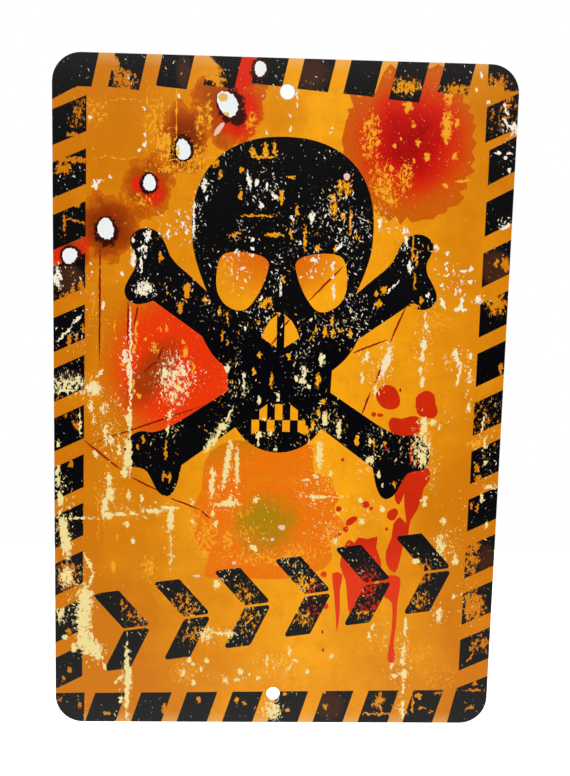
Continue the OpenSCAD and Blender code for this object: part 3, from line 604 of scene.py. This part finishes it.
# The three lie well apart, so one height parts the top one from the two below it, and one
# slanting line parts those two
heart = calc(tree, "ADD", marks(tree, place, TOP_STAIN), -0.06)
heart = calc(tree, "MULTIPLY_ADD", drift, 0.12, heart)
top_field = ramp(tree, heart, [(0.60, shade(207, 94, 0)), (0.72, shade(211, 82, 0)),
                               (0.80, shade(216, 58, 0)), (0.87, shade(214, 34, 0)),
                               (0.93, shade(202, 16, 2)), (0.99, shade(168, 0, 0))])
side = calc(tree, "ADD", marks(tree, place, SIDE_STAIN), -0.1)
side = calc(tree, "MULTIPLY_ADD", drift, 0.2, side)
side_field = ramp(tree, side, [(0, shade(214, 122, 0)), (0.2, shade(216, 110, 0)),
                               (0.42, shade(226, 84, 0)), (0.62, shade(238, 58, 0)),
                               (1, shade(236, 50, 0))])
band = marks(tree, place, BROWN_BAND)
band = calc(tree, "MULTIPLY_ADD", drift, 0.6, calc(tree, "ADD", band, -0.3), clamp=True)
side_field = blend(tree, calc(tree, "MULTIPLY", band, 1.15, clamp=True), side_field, BAND_BROWN)
olive = calc(tree, "ADD", marks(tree, place, OLIVE_HEART), -0.6)
olive = calc(tree, "MULTIPLY_ADD", drift, 1.2, olive)
olive = calc(tree, "MULTIPLY", olive, 1.3, clamp=True)
mottled = sharpen(tree, noise(tree, place, 8, 6.9, detail=4, roughness=0.65), 0.53, 9)
low_field = blend(tree, calc(tree, "MULTIPLY", mottled, 0.45), LOW_ORANGE, LOW_YELLOW)
low_field = blend(tree, olive, low_field, OLIVE)
low_part = sharpen(tree, vector(tree, "DOT_PRODUCT", place, (0.35, -1, 0)), 12, 0.1)
colour = blend(tree, low_part, side_field, low_field)
colour = blend(tree, sharpen(tree, upright, 70, 0.2), colour, top_field)

colour = pale_flecks(tree, place, colour)
dots = flecks(tree, place, 0.16, 0.8, 25)
colour = blend(tree, dots, colour, DOT_ORANGE)
join(tree, worn(tree, place, cracked(tree, place, colour)), shader.inputs["Base Color"])
gloss_film(shader, tree, place)
coat_node("stain_print", stain)

# Splash print. Bright red splashes and drops, flat and even, printed on the ground before
# the black. They are brighter towards the foot of the sign.
DEEP_RED = shade(198, 34, 0)
MIDDLE_RED = shade(216, 44, 2)
FOOT_RED = shade(228, 56, 18)

splash, tree, shader = new_finish("red_ink")
place = face_place(tree)
even = noise(tree, place, 12, 14, detail=3)
colour = blend(tree, even, DEEP_RED, MIDDLE_RED)
low = sharpen(tree, vector(tree, "DOT_PRODUCT", place, (0, -1, 0)), 60, 0.05)
colour = blend(tree, low, colour, FOOT_RED)
join(tree, worn(tree, place, colour), shader.inputs["Base Color"])
gloss_film(shader, tree, place)
coat_node("splash_print", splash)

# Black print. The hazard bars, corner pieces, skull and crossbones and chevrons, in one
# dense black. It is worn through to the orange in flecks and torn patches, and to the cream
# in fine chips, and a few bars are thin enough to look brown.

# Torn patches in the black, that show the orange. First the border's bars at the top
BLACK_WEAR = [
    (-76, 149, 6, 13, 40, 1.2), (-70.5, 141, 11, 10, 0, 0.6), (-56, 137.5, 5, 3.6),
    (-34, 147, 9, 16, 30, 1.2), (-30, 143.5, 6, 11, 0, 0.6), (96.5, 139, 4, 6, 20), (97, 135, 4, 2),
    (74, 141, 14, 6, 0, 0.6), (91, 144, 13, 8, 0, 0.5), (52, 142, 15, 8, 0, 0.55),
    # the left bars
    (-90.5, 126.5, 6, 13, -20, 0.35), (-93, 117.5, 6, 2), (-93, 106.8, 18, 2.8),
    (-97, 103, 8, 6, 0, 0.8), (-92, 80.5, 9, 1.4, -13), (-96.5, 78.5, 1.4, 13), (-91, 88, 3, 4),
    (-89.5, 52, 2.4, 5), (-93, 49.5, 1.7, 8), (-94.5, 27, 2.2, 9), (-91.5, 29, 1.4, 6),
    (-88.5, 33, 2, 4), (-91.5, -11, 3, 5), (-94, -28.5, 2.4, 5), (-96, -81, 11, 15, 0, 0.6),
    (-95, -108, 3.4, 4, 0, 0.8), (-96, 47, 8, 6, 0, 0.25), (-96, -2, 8, 8, 0, 0.1),
    (-98, -60, 6, 12, 0, 0.15),
    # the skull's dome
    (-14.5, 112.5, 3, 5), (-9, 113, 2.4, 7), (-5, 113.5, 2.4, 6), (-9.5, 110, 13, 1.4),
    (-31, 107, 4, 5), (-19.5, 104.5, 2, 4), (-28.5, 102, 2, 4), (2.5, 101.7, 4.6, 1.6),
    (-19.5, 93.5, 1.8, 6), (-1.5, 93, 2.1, 7), (26, 97.5, 8, 9, 0, 0.5), (21.5, 90.5, 4, 12, 0, 0.5),
    (-12, 84.5, 17, 1.2, 0, 0.9), (5.5, 87.5, 1.5, 6), (29.3, 83, 1.1, 13), (26, 85.3, 2, 4),
    (3, 76.5, 1.5, 4.6), (9.3, 74.5, 1.5, 13), (15, 71, 2, 4), (23, 71, 2, 4), (-22, 76, 8, 2, 20, 0.8),
    (-4, 76.5, 9, 2, 0, 0.8), (-7, 46, 6, 5, 0, 0.6), (0.2, 56.5, 1.4, 4), (-34, 47, 4.4, 3.4),
    (-28, 42, 2, 4), (-24.5, 39, 1.3, 6), (-26.5, 31, 1.1, 7), (-24.5, 28, 1.5, 3), (15.3, 35, 1.5, 4),
    (19.5, 33.5, 1.9, 6), (22.5, 39, 1.9, 4.6), (23, 33, 1.6, 4), (31, 33, 1.6, 4),
    # the bones and the jaw
    (-54.5, 65.5, 2.3, 4.6), (-42.5, 51, 3.4, 9), (-45.5, 43, 2.9, 7), (57.5, 71, 1.1, 13),
    (59.3, 66.5, 1.1, 8), (59, 57, 1.4, 8), (62.5, 48.5, 1.6, 4), (59.5, 46, 6, 2.4),
    (45.5, 53, 3.4, 4.6), (42, 51, 2, 4), (43, 46.5, 3.4, 4.6), (-9.7, 22.5, 2, 4), (-12.3, 15, 1.6, 4),
    (-4, 11.5, 1.9, 9), (3.3, 22, 1.8, 4), (17, 12, 2.3, 7), (12, -11, 2, 9, 20),
    (15, -9, 2, 6, 0, 0.7), (19.5, 1.8, 2, 4), (17.5, -3, 2, 4), (-61.5, -17, 2.3, 4.6),
    (-64, -20.5, 2, 3), (-51.5, -22, 1.5, 11), (-52.5, -34, 1.4, 6), (-49.5, -34, 1.4, 6),
    (-51, -34, 4, 1.4), (35.5, -16, 2.3, 6), (43.3, -18, 1.4, 6), (48.5, -18, 1.8, 4),
    (60.8, -21, 1.1, 13), (53.5, -36, 2, 4), (63, -26, 2, 4),
    # the right bars
    (99.5, 65.5, 4, 7), (95.5, 66, 2, 4), (96.5, 47.5, 10, 12, 0, 0.7), (100, 18.5, 1.9, 6),
    (91.5, -28, 2.2, 5), (92, -33, 3.4, 3.4), (89.5, -46, 2, 4), (92.5, -47, 1.4, 6),
    (91, -71, 8, 20, 0, 0.5), (93, -65, 4, 5), (91, -71, 3.4, 4.4, 0, 0.7), (93, -94, 12, 17, 0, 0.75),
    (98.5, -113, 9, 9, 0, 0.42), (94, -114, 4, 7, 0, 0.4), (92.5, -120, 1, 6, -37),
    (95.5, -136, 12, 1.2), (96, -132.5, 3, 3), (94, -144.5, 6, 2, 30), (94, 130, 14, 10, 0, 0.05),
    (92, -6, 12, 14, 0, 0.05),
    # the bottom bars
    (-51, -146, 3.4, 6), (-94.9, -126.5, 2.6, 4, 0, 0.6), (-98, -131.5, 2.2, 3.6, 0, 0.6),
    (-99.5, -141.5, 2, 3.6, 0, 0.6), (-90.5, -144, 2.2, 3.6, 0, 0.6), (-78, -148.3, 5, 2),
    (-35, -141.5, 2.3, 3.6), (-17, -141.5, 1.3, 4.6), (-13.5, -143, 2, 3), (5.5, -138.3, 3, 1.8),
    (7, -146.5, 2, 3), (25, -144.5, 2, 3), (24, -137, 2, 2), (51, -141, 1.6, 9), (49, -148, 17, 1.2),
    (66.3, -144, 1.1, 10), (69, -139, 3.4, 3.4), (71, -145, 4.6, 1.8), (75, -147, 2, 2),
    (78, -137.5, 4.6, 1.8), (50, -142, 6, 10, 0, 0.5),
    # the chevrons
    (-63, -100, 12, 12, 0, 0.25), (-70, -95, 4, 7, 0, 0.4), (-42, -96, 11, 14, 0, 0.25),
    (-37, -110, 12, 8, 0, 0.25), (-15, -92, 12, 14, 0, 0.25), (-14, -101, 10, 10, 0, 0.2),
    (14, -86, 13, 13, 0, 0.3), (14, -100, 14, 10, 0, 0.25), (42, -84, 13, 16, 0, 0.35),
    (44, -96, 13, 10, 0, 0.25), (67, -78, 12, 12, 0, 0.25), (68, -92, 9, 10, 0, 0.25)]
# Places where the black is nearly whole
WHOLE_BLACK = [
    (-31, 82, 22, 34), (-9, 13, 22, 26), (51, 52, 15, 18), (-40, -17, 15, 16), (36, -3, 15, 14),
    (49, -34, 13, 22), (22, 21, 14, 16), (-40, 25, 12, 20), (-66, -88, 12, 16), (94, 18, 18, 20),
    (-95, -30, 16, 16), (30, 146, 40, 14), (8, 120, 60, 14, 0, 0.6), (30, 90, 16, 28, 0, 0.3),
    (-40, -5, 15, 13, 0, 0.6), (50, -18, 18, 14, 0, 0.4), (-52, -28, 16, 22, 0, 0.5),
    (4, 10, 16, 20, 0, 0.4)]
# Places where the black is thin and brown
THIN_BLACK = [
    (10, 146, 20, 17, 0, 0.8), (-45, 145, 8, 17, 0, 0.8), (-95, 55, 16, 14, 0, 1.2),
    (95, 64, 17, 18, 0, 1.2), (27, -144, 15, 16, 0, 1), (98, -72, 9, 18, 0, 0.9),
    (97, -98, 9, 12, 0, 0.6), (-95, 10, 16, 10, 0, 0.4)]
# Chevrons and bones that red shows through
RED_UNDER = [
    (43, -84, 24, 30), (20, -92, 14, 22, 0, 0.6), (56, -25, 24, 24, 0, 0.8), (56, -74, 8, 20)]

# The skull with its bones, and the chevrons, which have more flecks than the bars
MOST_WORN = [
    (0, 38, 185, 215, 0, 1), (0, -92, 190, 62, 0, 1.2)]

THIN_BROWN = shade(66, 36, 18)
UNDER_RED = shade(206, 38, 2)

black, tree, shader = new_finish("black_ink")
place = face_place(tree)
# The sign's height from 0 to 1. The black is painted greyer towards the two ends of the sign,
# as a painted reflection of the room's light that lies on it there
rise = vector(tree, "DOT_PRODUCT", place, (0, 1 / 320, 0.5))
colour = ramp(tree, rise, [(0.03, shade(26, 26, 25)), (0.14, shade(28, 27, 26)),
                           (0.26, shade(28, 26, 26)), (0.34, shade(6, 6, 9)),
                           (0.55, shade(3, 3, 8)), (0.68, shade(9, 8, 10)),
                           (0.90, shade(9, 7, 7)), (0.97, shade(14, 10, 8))])
thin = calc(tree, "MULTIPLY", marks(tree, place, THIN_BLACK), 1.4, clamp=True)
colour = blend(tree, thin, colour, THIN_BROWN)

field = marks(tree, unsteady(tree, place, 1.7, 2.8, 71), BLACK_WEAR)
torn = ragged(tree, place, field, 1.7, 9.4, stretch=1.5, level=0.25, depth=3.6)
area = marks(tree, place, MOST_WORN)
# How thick the small flecks lie: uneven everywhere, and thicker round the torn patches
uneven = noise(tree, place, 22, 15, detail=2)
share = calc(tree, "MULTIPLY_ADD", area, 0.13, calc(tree, "MULTIPLY_ADD", uneven, 1.2, -0.44))
whole = calc(tree, "MAXIMUM", marks(tree, place, WHOLE_BLACK), 0)
share = calc(tree, "SUBTRACT", calc(tree, "MAXIMUM", share, 0.1), calc(tree, "MULTIPLY", whole, 0.8))
share = calc(tree, "MULTIPLY_ADD", calc(tree, "MAXIMUM", field, 0), 0.5, share)
small = flecks(tree, place, share, 1.1, 9.9)
creamy = noise(tree, place, 5, 13, detail=2)
red_below = calc(tree, "GREATER_THAN", marks(tree, place, RED_UNDER), 0.2)
# The orange under the black, which carries its painted reflection at the two ends of the sign
below = blend(tree, red_below, plain_orange(tree, place), UNDER_RED)
tint = blend(tree, calc(tree, "GREATER_THAN", creamy, 0.46), blend(tree, 0.35, below, PALE_ORANGE),
             base_colour(tree, place))
colour = blend(tree, small, colour, tint)
colour = blend(tree, torn, colour, below)
join(tree, worn(tree, place, colour), shader.inputs["Base Color"])
gloss_film(shader, tree, place)
coat_node("black_print", black)

# Char print. The scorched rims of the printed burn marks, mottled in fine flakes from
# nearly black to a deep red brown.
char, tree, shader = new_finish("char_ink")
place = face_place(tree)
flaky = noise(tree, place, 1.6, 16, detail=5, roughness=0.65)
flakes = ramp(tree, flaky, [(0.38, shade(34, 8, 4)), (0.54, shade(58, 12, 5)),
                            (0.70, shade(100, 26, 8))])
join(tree, flakes, shader.inputs["Base Color"])
gloss_film(shader, tree, place)
coat_node("char_print", char)

# White print. The bright middles of the burn marks, as if daylight came through them. The
# second and third have orange flecks left in them.
DAYLIGHT = shade(243, 246, 246)
FLECK_ORANGE = shade(238, 184, 84)
LEFT_OVER = [
    (-28, 135, 5, 5, 0, 0.9), (-27, 127.5, 6, 4, 0, 0.7), (-47.5, 112, 3, 7, 0, 0.6)]

white, tree, shader = new_finish("white_ink")
place = face_place(tree)
bits = ragged(tree, place, marks(tree, place, LEFT_OVER), 1.5, 17)
join(tree, blend(tree, bits, DAYLIGHT, FLECK_ORANGE), shader.inputs["Base Color"])
gloss_film(shader, tree, place)
coat_node("white_print", white)

# Floor. A plain pale studio floor, a little below the sign's foot, as the sign is made to
# hang on two screws.
FLOOR_DROP = 0.05
FLOOR_WIDTH = 0.9
FLOOR_GLOW = 0.72
FLOOR_WHITE = (0.92, 0.92, 0.92, 1)


def seen_straight(tree, rays):
    """1 for what the camera sees, also through glass, and 0 for all other light."""
    return calc(tree, "MAXIMUM", rays.outputs["Is Camera Ray"], rays.outputs["Is Transmission Ray"])


bpy.ops.object.select_all(action="DESELECT")
bpy.ops.mesh.primitive_plane_add(size=FLOOR_WIDTH, location=(0, 0, cad_box[0].z - FLOOR_DROP))
floor = bpy.context.object
floor.name = "floor"
floor.visible_glossy = False
paper, tree, shader = new_finish("floor_white")
shader.inputs["Base Color"].default_value = FLOOR_WHITE
shader.inputs["Roughness"].default_value = 0.8
# The camera sees it as white, with the sign's shadow faint on it
glow = tree.nodes.new("ShaderNodeEmission")
glow.inputs["Strength"].default_value = FLOOR_GLOW
bright = tree.nodes.new("ShaderNodeAddShader")
tree.links.new(shader.outputs[0], bright.inputs[0])
tree.links.new(glow.outputs[0], bright.inputs[1])
rays = tree.nodes.new("ShaderNodeLightPath")
choice = tree.nodes.new("ShaderNodeMixShader")
join(tree, seen_straight(tree, rays), choice.inputs[0])
tree.links.new(shader.outputs[0], choice.inputs[1])
tree.links.new(bright.outputs[0], choice.inputs[2])
tree.links.new(choice.outputs[0], tree.nodes["Material Output"].inputs["Surface"])
floor.data.materials.append(paper)

# Lamps. A wide soft lamp stands high on each side in front, and one stands behind for the
# back. All three are round and point at the middle of the sign.
LAMP_WIDTH = 0.9


def soft_lamp(name, place, power):
    """A round lamp at this place, which points at the middle of the sign."""
    lamp = bpy.data.lights.new(name, "AREA")
    lamp.shape = "DISK"
    lamp.size = LAMP_WIDTH
    lamp.energy = power
    light = bpy.data.objects.new(name, lamp)
    light.location = place
    aim = -light.location
    light.rotation_euler = aim.to_track_quat("-Z", "Y").to_euler()
    bpy.context.scene.collection.objects.link(light)


soft_lamp("left_lamp", (-1.1, -1.3, 0.9), 14.5)
soft_lamp("right_lamp", (1.1, -1.3, 0.9), 14.5)
soft_lamp("back_lamp", (0.6, 1.5, 1.1), 14)

# World. White wherever the camera looks past the sign. In the gloss it is dark at the
# camera's height and bright above it, as a studio is.
ROOM_GREY = (0.35, 0.35, 0.35, 1)
BACKDROP_WHITE = (1, 1, 1, 1)

world = bpy.data.worlds.new("studio")
bpy.context.scene.world = world
world.use_nodes = True
tree = world.node_tree
surround = tree.nodes["Background"]
view = tree.nodes.new("ShaderNodeTexCoord")
split = tree.nodes.new("ShaderNodeSeparateXYZ")
tree.links.new(view.outputs["Generated"], split.inputs[0])
lifted = calc(tree, "MULTIPLY_ADD", split.outputs[2], 0.5, 0.5)
# How bright the room is at each height, from straight down at 0 to straight up at 1
grey_levels = [(0.28, 0.6), (0.30, 0.33), (0.32, 0.1), (0.345, 0.05), (0.37, 0.02),
               (0.50, 0.02), (0.54, 0.05), (0.551, 0.16), (0.56, 0.6), (0.575, 1.0)]
mirrored = ramp(tree, lifted, [(position, (level, level, level, 1)) for position, level in grey_levels])
rays = tree.nodes.new("ShaderNodeLightPath")
colour = blend(tree, rays.outputs["Is Glossy Ray"], ROOM_GREY, mirrored)
colour = blend(tree, seen_straight(tree, rays), colour, BACKDROP_WHITE)
join(tree, colour, surround.inputs["Color"])
surround.inputs["Strength"].default_value = 1

# Camera. It stands half a metre in front of the sign, a little above its middle, and looks
# slightly down.
eye = bpy.data.cameras.new("camera")
eye.lens = 55.92
eye.sensor_width = 36
camera = bpy.data.objects.new("camera", eye)
camera.location = (-0.02368, -0.53823, 0.09475)
camera.rotation_euler = (math.radians(80.81), math.radians(-1.401), math.radians(-2.520))
bpy.context.scene.collection.objects.link(camera)
bpy.context.scene.camera = camera
bpy.context.scene.view_settings.view_transform = "Standard"
